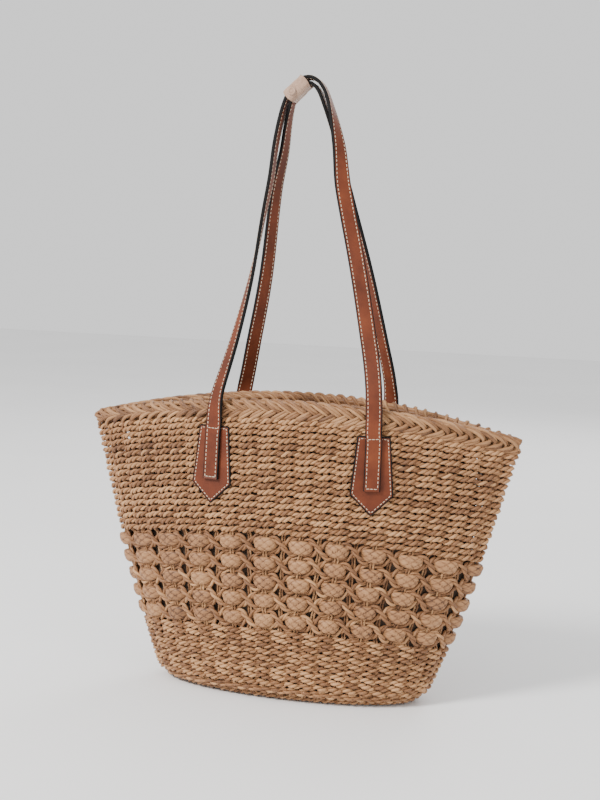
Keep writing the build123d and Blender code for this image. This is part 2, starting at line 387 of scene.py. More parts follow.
class Nodes:
    """A small helper that builds a material's node tree."""

    def __init__(self, name):
        self.material = bpy.data.materials.new(name)
        self.material.use_nodes = True
        self.tree = self.material.node_tree
        self.shader = self.tree.nodes["Principled BSDF"]

    def add(self, kind, **values):
        node = self.tree.nodes.new(kind)
        for key, value in values.items():
            if hasattr(node, key) and key not in node.inputs:
                setattr(node, key, value)
            else:
                node.inputs[key].default_value = value
        return node

    def link(self, source, target):
        self.tree.links.new(source, target)

    def ramp(self, source, stops):
        node = self.tree.nodes.new("ShaderNodeValToRGB")
        ramp = node.color_ramp
        ramp.elements[0].position, ramp.elements[0].color = stops[0][0], (*stops[0][1], 1)
        ramp.elements[1].position, ramp.elements[1].color = stops[-1][0], (*stops[-1][1], 1)
        for place, colour in stops[1:-1]:
            ramp.elements.new(place).color = (*colour, 1)
        self.link(source, node.inputs["Fac"])
        return node.outputs["Color"]

    def mix(self, factor, first, second, blend="MIX"):
        node = self.tree.nodes.new("ShaderNodeMix")
        node.data_type = "RGBA"
        node.blend_type = blend
        for socket, value in ((0, factor), (6, first), (7, second)):
            if isinstance(value, (int, float)):
                node.inputs[socket].default_value = value
            elif isinstance(value, tuple):
                node.inputs[socket].default_value = (*value, 1)
            else:
                self.link(value, node.inputs[socket])
        return node.outputs[2]

    def math(self, operation, first, second):
        node = self.tree.nodes.new("ShaderNodeMath")
        node.operation = operation
        for socket, value in ((0, first), (1, second)):
            if isinstance(value, (int, float)):
                node.inputs[socket].default_value = value
            else:
                self.link(value, node.inputs[socket])
        return node.outputs[0]

    def total(self, *parts):
        """Sum of values, each times its weight."""
        scaled = [value if weight == 1 else self.math("MULTIPLY", value, weight)
                  for value, weight in parts]
        sum_so_far = scaled[0]
        for value in scaled[1:]:
            sum_so_far = self.math("ADD", sum_so_far, value)
        return sum_so_far

    def noise(self, vector, scale, detail=3.0, rough=0.5):
        node = self.add("ShaderNodeTexNoise", Scale=scale, Detail=detail, Roughness=rough)
        self.link(vector, node.inputs["Vector"])
        return node.outputs["Fac"]

    def scaled(self, vector, scale):
        node = self.add("ShaderNodeMapping")
        node.inputs["Scale"].default_value = scale
        self.link(vector, node.inputs["Vector"])
        return node.outputs["Vector"]

    def object_space(self):
        return self.add("ShaderNodeTexCoord").outputs["Object"]

    def surface(self, colour, roughness, bump=None, **constants):
        """Joins colour, roughness and bump to the shader and sets its constant sockets."""
        inputs = self.shader.inputs
        self.link(colour, inputs["Base Color"])
        if isinstance(roughness, float):
            inputs["Roughness"].default_value = roughness
        else:
            self.link(roughness, inputs["Roughness"])
        for socket, value in constants.items():
            inputs[socket.replace("_", " ")].default_value = value
        if bump:
            height, strength, distance = bump
            node = self.add("ShaderNodeBump", Strength=strength, Distance=distance)
            self.link(height, node.inputs["Height"])
            self.link(node.outputs["Normal"], inputs["Normal"])
        return self.material


def straw_material(name, light, mid, dark):
    """Twisted paper straw: streaks along each strand, a tone of its own per strand, and painted
    shade in its creases.
    """
    n = Nodes(name)
    uv = n.add("ShaderNodeUVMap", uv_map="strand").outputs["UV"]
    streaks = n.noise(n.scaled(uv, (1.3, 9.0, 1)), 1.6, 4.0, 0.6)
    creases = n.noise(n.scaled(uv, (0.5, 16.0, 1)), 1.3, 2.0, 0.5)
    blotch = n.noise(n.object_space(), 22.0, 3.0, 0.6)
    # Tone per strand; on the plaited ribbons it also holds painted shade in the grooves.
    tone = n.add("ShaderNodeAttribute", attribute_name="tone").outputs["Fac"]
    mixed = n.total((streaks, 0.45), (tone, 0.28), (blotch, 0.32))
    colour = n.ramp(mixed, [(0.3, dark), (0.47, mid), (0.72, light)])
    # Darkening along the creases is painted shade; the same creases also drive the bump.
    thin = n.ramp(creases, [(0.36, (0.62, 0.58, 0.54)), (0.46, (1, 1, 1))])
    colour = n.mix(0.55, colour, thin, "MULTIPLY")
    rough = n.total((streaks, 0.25), (0.42, 1))
    height = n.total((creases, 0.7), (streaks, 0.5))
    return n.surface(
        colour, rough, (height, 0.55, 0.0004), Specular_IOR_Level=0.35, Sheen_Weight=0.08
    )


straw = straw_material(
    "straw_cord", (0.53, 0.295, 0.137), (0.26, 0.118, 0.047), (0.080, 0.031, 0.012)
)
ribbon_straw = straw_material(
    "straw_ribbon", (0.45, 0.245, 0.112), (0.28, 0.132, 0.055), (0.075, 0.030, 0.0115)
)
rim_straw = straw_material(
    "straw_rim", (0.43, 0.232, 0.105), (0.23, 0.104, 0.041), (0.060, 0.023, 0.009)
)


def leather_material(name, light, mid, dark, gloss, shine):
    """Coated leather with fine pebble grain and soft mottling."""
    n = Nodes(name)
    space = n.object_space()
    mottle = n.noise(space, 30.0, 4.0, 0.6)
    colour = n.ramp(mottle, [(0.3, dark), (0.52, mid), (0.75, light)])
    grain = n.add("ShaderNodeTexVoronoi", Scale=1500.0, feature="SMOOTH_F1")
    n.link(space, grain.inputs["Vector"])
    fine = n.noise(space, 2600.0, 2.0, 0.5)
    rough = n.total((mottle, 0.22), (gloss, 1))
    height = n.total((grain.outputs["Distance"], 1), (fine, 0.4))
    return n.surface(colour, rough, (height, 0.28, 0.0002), Specular_IOR_Level=shine)


cognac = leather_material(
    "cognac_leather", (0.170, 0.040, 0.0125), (0.120, 0.0255, 0.0078),
    (0.072, 0.0145, 0.0045), gloss=0.46, shine=0.25,
)
edge_paint = leather_material(
    "black_edge_paint", (0.010, 0.009, 0.009), (0.007, 0.0065, 0.0065),
    (0.004, 0.004, 0.004), gloss=0.55, shine=0.12,
)


def thread_material():
    """Cream sewing thread with a fine twist."""
    n = Nodes("cream_thread")
    space = n.object_space()
    twist = n.add("ShaderNodeTexWave", Scale=900.0, Distortion=2.0)
    n.link(space, twist.inputs["Vector"])
    colour = n.ramp(
        twist.outputs["Fac"], [(0.1, (0.42, 0.32, 0.22)), (0.7, (0.70, 0.60, 0.46))]
    )
    return n.surface(colour, 0.7, (twist.outputs["Fac"], 0.4, 0.0001))


thread = thread_material()


def suede_material():
    """Beige suede: soft blotches, a short nap and a strong sheen."""
    n = Nodes("beige_suede")
    space = n.object_space()
    blotch = n.noise(space, 130.0, 5.0, 0.65)
    nap = n.noise(space, 2800.0, 2.0, 0.6)
    mixed = n.total((blotch, 0.65), (nap, 0.35))
    colour = n.ramp(
        mixed, [(0.32, (0.25, 0.15, 0.10)), (0.5, (0.38, 0.24, 0.165)), (0.7, (0.50, 0.34, 0.25))]
    )
    return n.surface(
        colour, 0.92, (nap, 0.5, 0.0003), Sheen_Weight=0.45, Sheen_Roughness=0.5
    )


suede = suede_material()


def cloth_material(name, light, dark):
    """Plain cotton weave, of two crossed sets of fine threads."""
    n = Nodes(name)
    space = n.object_space()
    warp = n.add("ShaderNodeTexWave", Scale=420.0, Distortion=1.2, bands_direction="X")
    weft = n.add("ShaderNodeTexWave", Scale=420.0, Distortion=1.2, bands_direction="Z")
    n.link(space, warp.inputs["Vector"])
    n.link(space, weft.inputs["Vector"])
    weave = n.math("MULTIPLY", warp.outputs["Fac"], weft.outputs["Fac"])
    slub = n.noise(n.scaled(space, (1, 1, 0.15)), 160.0, 4.0, 0.6)
    mixed = n.total((weave, 0.35), (slub, 0.65))
    colour = n.ramp(mixed, [(0.25, dark), (0.65, light)])
    return n.surface(colour, 0.88, (mixed, 0.4, 0.0003), Sheen_Weight=0.15)


lining_cloth = cloth_material("lining_cotton", (0.50, 0.35, 0.23), (0.34, 0.23, 0.145))
# Dark brown cloth on the lining's side that faces the weave: painted shade, so the gaps in the weave
# look dark.
lining_back_painted_shade = cloth_material("lining_back_painted_shade", (0.105, 0.066, 0.042), (0.06, 0.037, 0.023))


def board_material():
    """Grey pressed board with fibres along it."""
    n = Nodes("grey_board")
    space = n.object_space()
    fibre = n.noise(n.scaled(space, (1, 4, 1)), 220.0, 5.0, 0.7)
    colour = n.ramp(fibre, [(0.3, (0.30, 0.26, 0.21)), (0.7, (0.48, 0.43, 0.36))])
    return n.surface(colour, 0.9, (fibre, 0.3, 0.0002))


# ---- woven wall


def wobble(count, size, waves=9):
    """A closed, smooth, small random deviation along a row."""
    share = np.linspace(0, 1, count, endpoint=False)
    total = np.zeros(count)
    for k in range(waves):
        total += np.sin(2 * np.pi * (k * 3 + 2) * share + rng.uniform(0, 6.28))
    return total * size / math.sqrt(waves)


def weave_row(strands, level, rise, count=2, ply=1.62, reach=2.2, lift=1.25,
              turns=stake_count / 2, pitch=13, points=17, flat=False):
    """One twined row: cords that turn round each other and take the stakes between them."""
    number = stake_count * points
    share = np.arange(number) / number
    low_wave = wobble(number, 0.28)
    for strand in range(count):
        phase = 2 * np.pi * (turns * share + strand / count)
        proud = np.cos(phase)
        proud = np.sign(proud) * np.abs(proud) ** 0.75
        depth = wall_middle - reach * proud + wobble(number, 0.15)
        height = level + rise * lift * np.sin(phase) + low_wave
        if flat:
            for _ in range(4):
                fall = drop(height) * np.cos(turn_at(share, height)) ** 2
                height = level + fall + rise * lift * np.sin(phase)
        size = ply * (0.76 + 0.24 * proud)
        place, outward = wall(share, height, depth)
        strands.cord(place, outward, size, pitch)


def rows_piece(name, levels, rise, points):
    """A few twined rows as one piece."""
    strands = Strands()
    for level in levels:
        weave_row(strands, level, rise, points=points)
    return put(strands.piece(name, straw), "bag", "straw")


upper_levels = np.linspace(*upper_rows)
upper_pieces = [
    rows_piece(f"upper_twined_rows_{i + 1}", upper_levels[i * 4:i * 4 + 4], 1, 17)
    for i in range(4)
]
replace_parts(upper_pieces[0], "upper_twined_wall")
lower_levels = np.linspace(*lower_rows)
lower_pieces = [
    rows_piece(f"lower_twined_rows_{i + 1}", lower_levels[i * 3:i * 3 + 3], -1, 15)
    for i in range(3)
]
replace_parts(lower_pieces[0], "lower_twined_wall")

# Two more rows, partly under the rim braid
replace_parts(rows_piece("rim_wale_rope", wale_levels, 1, 17), "rim_wale")

# Thick ropes round the bottom edge
rope = Strands()
weave_row(rope, bottom_rope, -1, count=3, ply=1.6, reach=1.6, lift=2.0, turns=20, pitch=17,
          points=15)
weave_row(rope, 3.9, 1, count=2, ply=1.35, reach=0.9, lift=0.6, turns=22, pitch=15,
          points=15, flat=True)
put(rope.piece("bottom_edge_ropes", straw), "bag", "straw", "bottom_braid")


def stakes_piece():
    """Upright pairs of cords from the base to the rim, in front and behind by turns."""
    strands = Strands()
    levels = np.linspace(6, 292, 120)
    for stake in range(stake_count):
        share = stake / stake_count
        column = stake % 2 == 0
        for side in (-1, 1):
            inside = (levels > openwork[0]) & (levels < openwork[1])
            sway = np.where(inside, 0.5 * np.sin(levels * 0.33 + stake), 0)
            offset = side * 1.35 + sway
            spread = offset / np.interp(levels, level_grid, round_length)
            depth = wall_middle + np.where(inside, -0.6 if column else 1.9, 0)
            place, outward = wall(share + spread, levels, depth)
            strands.tube(place, outward, stake_radius, sides=6, spin=levels * 0.5, flat=0.85)
    for corner in (0.0, 0.5):
        for offset in (-7, -4.4, 4.4, 7):
            share = corner + offset / np.interp(levels, level_grid, round_length)
            place, outward = wall(share, levels, wall_middle + 1.2)
            strands.tube(place, outward, corner_stake_radius, sides=6)
    put(strands.piece("upright_stakes", straw), "bag", "straw")


stakes_piece()

# ---- openwork band

puff_pitch = (openwork[1] - openwork[0]) / puff_rows
puff_levels = [openwork[1] - puff_pitch * (i + 0.5) for i in range(puff_rows)]


def crossing_cords():
    """Two zigzag cords to each row of puffs: down to the right in front, up behind."""
    strands = Strands()
    points = 26
    number = column_count * points
    share = np.arange(number) / number
    place_in = (share * column_count) % 1.0
    gap = np.floor(share * column_count).astype(int)
    swing = soft((place_in - 0.2) / 0.6)
    front = np.sin(np.pi * np.clip((place_in - 0.1) / 0.8, 0, 1)) ** 0.9
    for level in puff_levels:
        high = level + puff_pitch / 2 - 1.7
        low = level - puff_pitch / 2 + 1.7
        for first in (0, 1):
            falling = (gap + first) % 2 == 0
            height = np.where(falling, high + (low - high) * swing, low + (high - low) * swing)
            depth = np.where(falling, 5.8 - 5.6 * front, 5.8 - 2.5 * front)
            place, outward = wall(share, height + wobble(number, 0.2), depth)
            strands.cord(place, outward, openwork_ply, openwork_twist)
    put(strands.piece("crossing_cords", straw), "bag", "straw", "openwork_cords")


crossing_cords()


def plait_relief(x, y, strip):
    """Height of a flat plait of strips laid at 45 degrees, from 0 to 1."""
    a = (x + y) / (strip * math.sqrt(2))
    b = (x - y) / (strip * math.sqrt(2))
    ia, ib = np.floor(a), np.floor(b)
    fa, fb = a - ia, b - ib
    odd = (ia + ib) % 2 == 0
    across = np.where(odd, fb, fa)
    along = np.where(odd, fa, fb)
    return (1 - np.abs(2 * across - 1) ** 7) * (1 - 0.5 * np.abs(2 * along - 1) ** 6)


def ribbon_piece(row, level):
    """One plaited ribbon round the bag: a barrel at each column, tucked in between."""
    fine, rings = 56, 48
    number = column_count * fine
    share = np.arange(number) / number
    s = ((share * column_count + 0.5) % 1.0 - 0.5) * 2
    which = np.floor(share * column_count + 0.5).astype(int) % column_count
    length = around(level) / column_count
    reach = 0.69 + 0.03 * rng.uniform(-1, 1, column_count)[which]
    bulk = np.sqrt(1 - np.clip(np.abs(s) / reach, 0, 1) ** 2.6)
    vary = rng.uniform(-0.5, 0.5, column_count)[which]
    half_high = 1.3 + (5.75 + 0.5 * vary) * bulk
    shift = rng.uniform(-0.6, 0.6, column_count)[which] * bulk
    swell = 3.6 + 0.4 * rng.uniform(-1, 1, column_count)[which]
    middle = 6.6 - 5.5 * bulk
    q = np.linspace(0, 2 * np.pi, rings, endpoint=False)[None, :]
    up = np.sin(q)
    taper = 1 + 0.17 * up
    front = np.cos(q)
    high = half_high[:, None] * np.sign(up) * np.abs(up) ** 0.75
    thick = np.where(front > 0, swell[:, None] * bulk[:, None] + 0.7, 0.8)
    out = thick * np.sign(front) * np.abs(front) ** 0.85
    x = s[:, None] * length / 2 + rng.uniform(0, 5, column_count)[which][:, None]
    arc = high * 1.25
    relief = plait_relief(x, arc + 1.3, 6.4)
    out = out + np.where(front > -0.2, (relief - 0.7) * 1.3 * bulk[:, None], 0)
    depth = middle[:, None] - out
    level_here = level + high + shift[:, None]
    centre_share = np.round(share * column_count) / column_count
    drawn = (share - centre_share)[:, None] * (1 + (taper - 1) * bulk[:, None])
    place, _ = wall(centre_share[:, None] + drawn, level_here, depth)
    faces = grid_faces(number, rings, True, looped=True)
    obj = make_mesh(f"plaited_ribbon_row_{row + 1}", place.reshape(-1, 3), faces, [ribbon_straw])
    corners = grid_map(number, rings)
    add_uv(obj, "OFBake", corners * 0.98 + 0.01)
    add_uv(obj, "strand", corners * [around(level) / 10, 1.0])
    # Tone per column, lowered in the grooves between the plait's strips: the lowering is painted
    # shade.
    tones = rng.uniform(0.35, 0.8, column_count)[which][:, None] - 1.1 * (1 - relief)
    add_tone(obj, tones)
    put(obj, "bag", "straw_ribbon", f"plaited_ribbon_{row + 1}")


for ribbon_row, ribbon_level in enumerate(puff_levels):
    ribbon_piece(ribbon_row, ribbon_level)

# ---- rim braid


def smooth_curve(knots, count):
    """A smooth open curve through a few knots, each a row of values."""
    knots = np.array(knots, float)
    at = np.linspace(0, len(knots) - 1, count)
    i = np.clip(at.astype(int), 0, len(knots) - 2)
    f = (at - i)[:, None]
    before = knots[np.maximum(i - 1, 0)]
    after = knots[np.minimum(i + 2, len(knots) - 1)]
    p, q = knots[i], knots[i + 1]
    return p + 0.5 * f * (q - before + f * (2 * before - 5 * p + 4 * q - after
                                            + f * (3 * (p - q) + after - before)))


def braid_piece():
    """Two rows of slanted bands that meet as arrowheads, the upper ones over the rim."""
    strands = Strands()
    number = int(round(around(braid_middle) / braid_step))
    upper = [
        (-31, 291, 9.2), (-25, 298, 9.6), (-19, 304.0, 8.9), (-15, 306.6, 6.8),
        (-10, 306.8, 3.6), (-6, 305.0, 1.3), (-1.5, 302.3, 0.5), (3, 299.6, 0.7),
        (7, 297.4, 2.4), (9.5, 296.4, 4.6),
    ]
    lower = [
        (-10.5, 288.9, 4.6), (-7, 290.4, 2.2), (-2.5, 292.8, 0.7), (2, 295.4, 0.5),
        (6, 297.8, 1.6), (9, 299.4, 4.2),
    ]
    leaf = 1.8 * (0.62 + 0.38 * np.sin(np.pi * np.linspace(0, 1, 26)) ** 0.8)
    for k in range(number):
        for knots, shift in ((upper, 0.0), (lower, 0.5)):
            jitter = rng.uniform(-0.35, 0.35, 3)
            path = smooth_curve(knots, 26)
            share = (k + shift) / number + (path[:, 0] + jitter[0]) / around(braid_middle)
            place, outward = wall(share, path[:, 1] + jitter[1], path[:, 2] + jitter[2] * 0.5)
            strands.bundle(place, outward, 2, leaf, 2.6)
    filler = 700
    for level, depth in (
            (284.0, 7.4), (288.8, 8.0), (293.8, 8.0), (298.6, 7.6),
            (290.5, 5.8), (295.5, 5.8), (300.5, 5.6), (305.3, 5.4), (303.0, 7.6),
    ):
        share = np.arange(filler) / filler
        place, outward = wall(share, level + wobble(filler, 0.2), depth)
        strands.tube(place, outward, filler_radius, closed=True)
    put(strands.piece("rim_braid_strands", rim_straw), "bag", "straw", "rim_braid")


braid_piece()

# ---- lining and base


lining_top = 280
lining_floor = 9.0
cloth_thickness = 0.8


def lining_folds(share, level):
    """How far the lining stands inwards of its wall: soft folds and puckers at the corners."""
    folds = 0.9 + 0.8 * np.sin(2 * np.pi * 13 * share + 0.02 * level)
    folds = folds + 0.5 * np.sin(2 * np.pi * 29 * share + 1.3)
    near_top = np.clip((level - 130) / 150, 0, 1)
    for corner, size in ((0.0, 9.0), (0.5, 12.0)):
        away = (share - corner + 0.5) % 1.0 - 0.5
        folds = folds + size * near_top**1.5 * np.exp(-((away / 0.022) ** 2))
        folds = folds + 3.0 * near_top * np.exp(-(((np.abs(away) - 0.05) / 0.012) ** 2))
    return folds


def lining_piece():
    """Two cloth layers down the wall and over the floor, joined at the top edge."""
    columns, rows, floor_rows = 300, 48, 10
    share = np.arange(columns)[None, :] / columns
    level = np.linspace(lining_top, lining_floor + 2, rows)[:, None]
    level = level + 0 * share
    layers = []
    for extra in (0.0, cloth_thickness):
        depth = lining_depth + extra + lining_folds(share + 0 * level, level)
        place, _ = wall(share + 0 * level, level, depth)
        ring = place[-1]
        middle = ring * [0.55, 0.0, 1.0]
        floor = []
        for k in range(1, floor_rows + 1):
            f = k / floor_rows
            row = ring * (1 - f) + middle * f
            row[:, 2] = lining_floor + extra + (row[:, 2] - lining_floor) * (1 - f) ** 3
            floor.append(row)
        layers.append(np.concatenate([place, np.array(floor)]))
    total = rows + floor_rows
    verts = np.concatenate([layer.reshape(-1, 3) for layer in layers])
    outer = grid_faces(total, columns, True)
    inner = grid_faces(total, columns, True, total * columns, flip=True)
    j = np.arange(columns)
    k = (j + 1) % columns
    offset = total * columns
    top = np.stack([j, offset + j, offset + k, k], axis=-1)
    faces = np.concatenate([outer, inner, top])
    # The layer towards the weave takes the dark brown cloth: painted shade for the gaps in the
    # weave.
    indices = np.concatenate([np.ones(len(outer)), np.zeros(len(inner) + len(top))])
    obj = make_mesh("lining_cloth", verts, faces, [lining_cloth, lining_back_painted_shade], indices)
    return put(obj, "bag", "lining", "lining")


lining = lining_piece()


def hem_piece():
    """Rolled hem: a padded roll round the lining's top edge."""
    number = 420
    share = np.arange(number) / number
    strands = Strands()
    level = lining_top + 1.5 + wobble(number, 0.3)
    folds = lining_folds(share, np.full(number, float(lining_top)))
    place, outward = wall(share, level, lining_depth + 0.6 + folds)
    strands.tube(place, outward, hem_radius, closed=True, sides=10)
    return put(strands.piece("lining_hem_roll", lining_cloth), "bag", "lining", "lining_hem")


hem = hem_piece()


def pocket_piece():
    """Slip pocket sewn on the back of the lining."""
    columns, rows = 60, 40
    low, high = node_box("slip_pocket")
    width = high[0] - low[0]
    around_share = np.linspace(-0.5, 0.5, columns)[None, :] * width / around(190) + 0.75
    level = np.linspace(low[2], high[2], rows)[:, None] + 0 * around_share
    rise = (level - low[2]) / (high[2] - low[2])
    across = (around_share - 0.75) * around(190) / width
    slack = 2.2 * rise**2 * np.cos(np.pi * across) ** 2
    layers = []
    for extra in (0.0, 0.9):
        folds = lining_folds(around_share + 0 * level, level)
        depth = lining_depth + cloth_thickness + 0.35 + extra + folds + slack
        place, _ = wall(around_share + 0 * level, level, depth)
        layers.append(place.reshape(-1, 3))
    faces = two_layer_faces(rows, columns)
    obj = make_mesh("slip_pocket_cloth", np.concatenate(layers), faces, [lining_cloth])
    put(obj, "bag", "lining", "slip_pocket")


pocket_piece()
for slot in bpy.data.objects["base_board"].material_slots:
    slot.material = board_material()


def base_piece():
    """Twined rows of the base, one inside the other, and the stakes that cross them."""
    strands = Strands()
    points = 12
    number = stake_count * points
    share = np.arange(number) / number
    outer = section_point(turn_at(share, np.full(number, 3.0)), np.full(number, 3.0), 0.0)
    spine = outer * [0.66, 0.0, 1.0]
    for ring in range(8):
        f = (ring + 0.9) / 8.6
        middle = outer * (1 - f) + spine * f
        for strand in range(2):
            phase = 2 * np.pi * (stake_count / 2 * share + strand / 2 + ring / 4)
            place = middle.copy()
            place[:, 2] = 4.2 - 1.3 * np.cos(phase)
            outward = np.tile([0.0, 0.0, -1.0], (number, 1))
            strands.cord(place, outward, 1.3, 13)
    for stake in range(stake_count):
        f = np.linspace(0.02, 1.0, 20)[:, None]
        start, end = outer[stake * points], spine[stake * points]
        place = start * (1 - f) + end * f
        place[:, 2] = 4.2
        outward = np.tile([0.0, 0.0, -1.0], (20, 1))
        strands.tube(place, outward, stake_radius, sides=6)
    put(strands.piece("base_weave", straw), "bag", "straw", "woven_base")


base_piece()

# ---- leather

tab_length = 80
tab_top_width = 33
tab_wide = 43.5
tab_shoulder = 59
tab_round = 2.2
tab_thickness = 2.4
tab_spacing = 164
tab_shift = 4
tab_middle = tab_top - tab_length / 2
tab_stitch_pitch = 3.7
strap_stitch_pitch = 4.1
strap_layer = 1.7
strap_overlap = 54.5
layer_gap = 0.1
handle_height = 630.5
handle_apex = -4
stack_gap = 2.6


def front_depth(x, z, inset):
    length = half_width(z) - rounding(z) - inset
    depth = half_depth(z) - rounding(z) - inset
    return depth * (1 - (x / length) ** 2) ** ((1 + crease(z)) / 2)


def tab_plane(side, along):
    """Middle, sideways, upright and outward directions of a tab's back face."""
    x = tab_shift + along * tab_spacing / 2
    here = front_depth(x, tab_middle, 1)
    across = (front_depth(x + 5, tab_middle, 1) - here) / 5
    upwards = (front_depth(x, tab_middle + 5, 1) - here) / 5
    outward = unit(np.array([-across, side, -upwards]))
    middle = np.array([x, side * here, tab_middle]) + outward * 0.5
    upright = unit(np.array([0, 0, 1]) - outward * outward[2])
    return middle, np.cross(upright, outward), upright, outward


class Leather:
    """Collects faces of several kinds into one leather piece: 0 leather, 1 edge, 2 thread."""

    def __init__(self):
        self.verts, self.faces, self.kinds = [], [], []

    def add(self, verts, faces, kinds):
        start = len(self.verts)
        self.verts.extend(np.asarray(verts).tolist())
        self.faces.extend([[int(i) + start for i in face] for face in faces])
        self.kinds.extend([int(kind) for kind in kinds])

    def stitch(self, start, end, outward, size=0.42):
        """One stitch: a thread that dips into the leather at both ends."""
        along = unit(end - start)
        across = np.cross(along, outward)
        rings = []
        for f in (0.0, 0.14, 0.5, 0.86, 1.0):
            hump = math.sin(math.pi * f) ** 0.5 if 0 < f < 1 else 0
            centre = start + (end - start) * f + outward * (hump * 0.34 - 0.14)
            for k in range(6):
                angle = math.pi * 2 * k / 6
                wide = size * (0.55 + 0.45 * hump)
                rings.append(
                    centre + (outward * math.cos(angle) * 0.8 + across * math.sin(angle)) * wide
                )
        self.add(rings, grid_faces(5, 6, True), np.full(24, 2))

    def piece(self, name, surface):
        mesh = bpy.data.meshes.new(name)
        mesh.from_pydata([tuple(v * MM for v in p) for p in self.verts], [], self.faces)
        for material in (surface, edge_paint, thread):
            mesh.materials.append(material)
        mesh.polygons.foreach_set("material_index", np.array(self.kinds, dtype=np.int32))
        mesh.polygons.foreach_set("use_smooth", np.ones(len(self.faces), dtype=bool))
        mesh.update()
        mesh.validate()
        obj = bpy.data.objects.new(name, mesh)
        bpy.context.scene.collection.objects.link(obj)
        return obj


def corner_sides(corners):
    """Each corner of a polygon, its directions back and on, and half its angle."""
    for i, corner in enumerate(corners):
        back = unit(corners[i - 1] - corner)
        on = unit(corners[(i + 1) % len(corners)] - corner)
        yield corner, back, on, math.acos(float(np.clip(back @ on, -1, 1))) / 2


def inset_outline(corners, inset, radius, steps=6):
    """Outline of a polygon moved inwards, with round corners."""
    moved = [corner + unit(back + on) * inset / math.sin(half)
             for corner, back, on, half in corner_sides(np.array(corners, float))]
    radius = max(radius - inset, 0.4)
    outline = []
    for corner, back, on, half in corner_sides(moved):
        reach = radius / math.tan(half)
        middle = corner + unit(back + on) * radius / math.sin(half)
        first, last = corner + back * reach - middle, corner + on * reach - middle
        for f in np.arange(steps + 1) / steps:
            outline.append(middle + unit(first * (1 - f) + last * f) * radius)
    return np.array(outline)


def tab_piece(place, side, along):
    """Five-sided leather tab with a painted edge, a rolled rim and a line of stitches."""
    leather = Leather()
    middle, sideways, upright, outward = tab_plane(side, along)
    half = tab_length / 2
    top, wide, shoulder = tab_top_width / 2, tab_wide / 2, half - tab_shoulder
    shield = [(-top, half), (-wide, shoulder), (0, -half), (wide, shoulder), (top, half)]
    count = len(inset_outline(shield, 0, tab_round))
    profile = [
        (0.5, 0.0, 1), (0.0, 0.35, 1), (0.0, 1.6, 1), (0.3, 2.15, 1), (0.9, 2.4, 1),
        (1.4, 2.42, 0), (2.1, 2.42, 0), (2.6, 2.3, 0), (3.1, 2.44, 0), (3.8, 2.46, 0),
        (5.5, 2.46, 0), (8.0, 2.46, 0),
    ]
    verts = []
    for inset, rise, _ in profile:
        for x, y in inset_outline(shield, inset, tab_round):
            verts.append(middle + sideways * x + upright * y + outward * rise)
    faces = grid_faces(len(profile), count, True).tolist()
    kinds = [kind for _, _, kind in profile[:-1] for _ in range(count)]
    faces.append(list(range((len(profile) - 1) * count, len(profile) * count)))
    faces.append(list(range(count - 1, -1, -1)))
    kinds += [0, 0]
    leather.add(verts, faces, kinds)
    line = inset_outline(shield, 2.6, tab_round)
    line = np.concatenate([line, line[:1]])
    walked = walk(line)
    number = int(walked[-1] / tab_stitch_pitch)
    for i in range(number):
        ends = []
        for at in (i + 0.1, i + 0.72):
            x = np.interp(at / number * walked[-1], walked, line[:, 0])
            y = np.interp(at / number * walked[-1], walked, line[:, 1])
            ends.append(middle + sideways * x + upright * y + outward * 2.38)
        leather.stitch(ends[0], ends[1], outward)
    obj = leather.piece(f"leather_tab_{place}", cognac)
    put(obj, "bag", "leather", f"tab_{place}")


sides = ((-1, "front"), (1, "back"))
for side_sign, side_name in sides:
    for end_sign, end_name in ((-1, "left"), (1, "right")):
        tab_piece(f"{side_name}_{end_name}", side_sign, end_sign)


def clamped_spline(points, first, last, count):
    """A smooth curve through points with given directions at its two ends."""
    points = np.array(points, float)
    at = walk(points)
    spans = np.linalg.norm(np.diff(points, axis=0), axis=1)
    n = len(points)
    system, right = np.zeros((n, n)), np.zeros((n, 3))
    system[0, 0] = system[-1, -1] = 1
    right[0], right[-1] = first, last
    for i in range(1, n - 1):
        h, g = spans[i - 1], spans[i]
        system[i, i - 1], system[i, i], system[i, i + 1] = g, 2 * (g + h), h
        right[i] = 3 * (g * (points[i] - points[i - 1]) / h + h * (points[i + 1] - points[i]) / g)
    slopes = np.linalg.solve(system, right)
    fine = np.linspace(0, at[-1], 4000)
    i = np.clip(np.searchsorted(at, fine) - 1, 0, n - 2)
    h = spans[i][:, None]
    t = ((fine - at[i]) / spans[i])[:, None]
    curve = (2 * t**3 - 3 * t**2 + 1) * points[i] + (t**3 - 2 * t**2 + t) * h * slopes[i]
    curve = curve + (3 * t**2 - 2 * t**3) * points[i + 1] + (t**3 - t**2) * h * slopes[i + 1]
    walked = walk(curve)
    even = np.linspace(0, walked[-1], count)
    return np.stack([np.interp(even, walked, curve[:, k]) for k in range(3)], axis=-1)


def handle_line():
    legs = handle_height - tab_top
    half = tab_spacing / 2
    left = [(-1, 0), (-0.99, 0.057), (-0.92, 0.138), (-0.78, 0.278), (-0.63, 0.458),
            (-0.53, 0.633), (-0.42, 0.8)]
    crown = [(-23.5, 30), (-18.5, 15), (-10.8, 5), (0, 0), (8.9, 5), (16.3, 18), (22.5, 36)]
    right = [(0.335, 0.794), (0.48, 0.653), (0.655, 0.493), (0.89, 0.244), (0.98, 0.129),
             (1, 0.057), (1, 0)]
    low = tab_top + 0.15
    points = [(tab_shift * (1 - z) + x * half, 0, low + z * legs) for x, z in left]
    points += [(handle_apex + x, 0, handle_height + 0.15 - z) for x, z in crown]
    points += [(tab_shift * (1 - z) + x * half, 0, low + z * legs) for x, z in right]
    return clamped_spline(points, (0, 0, 1), (0, 0, -1), 240)


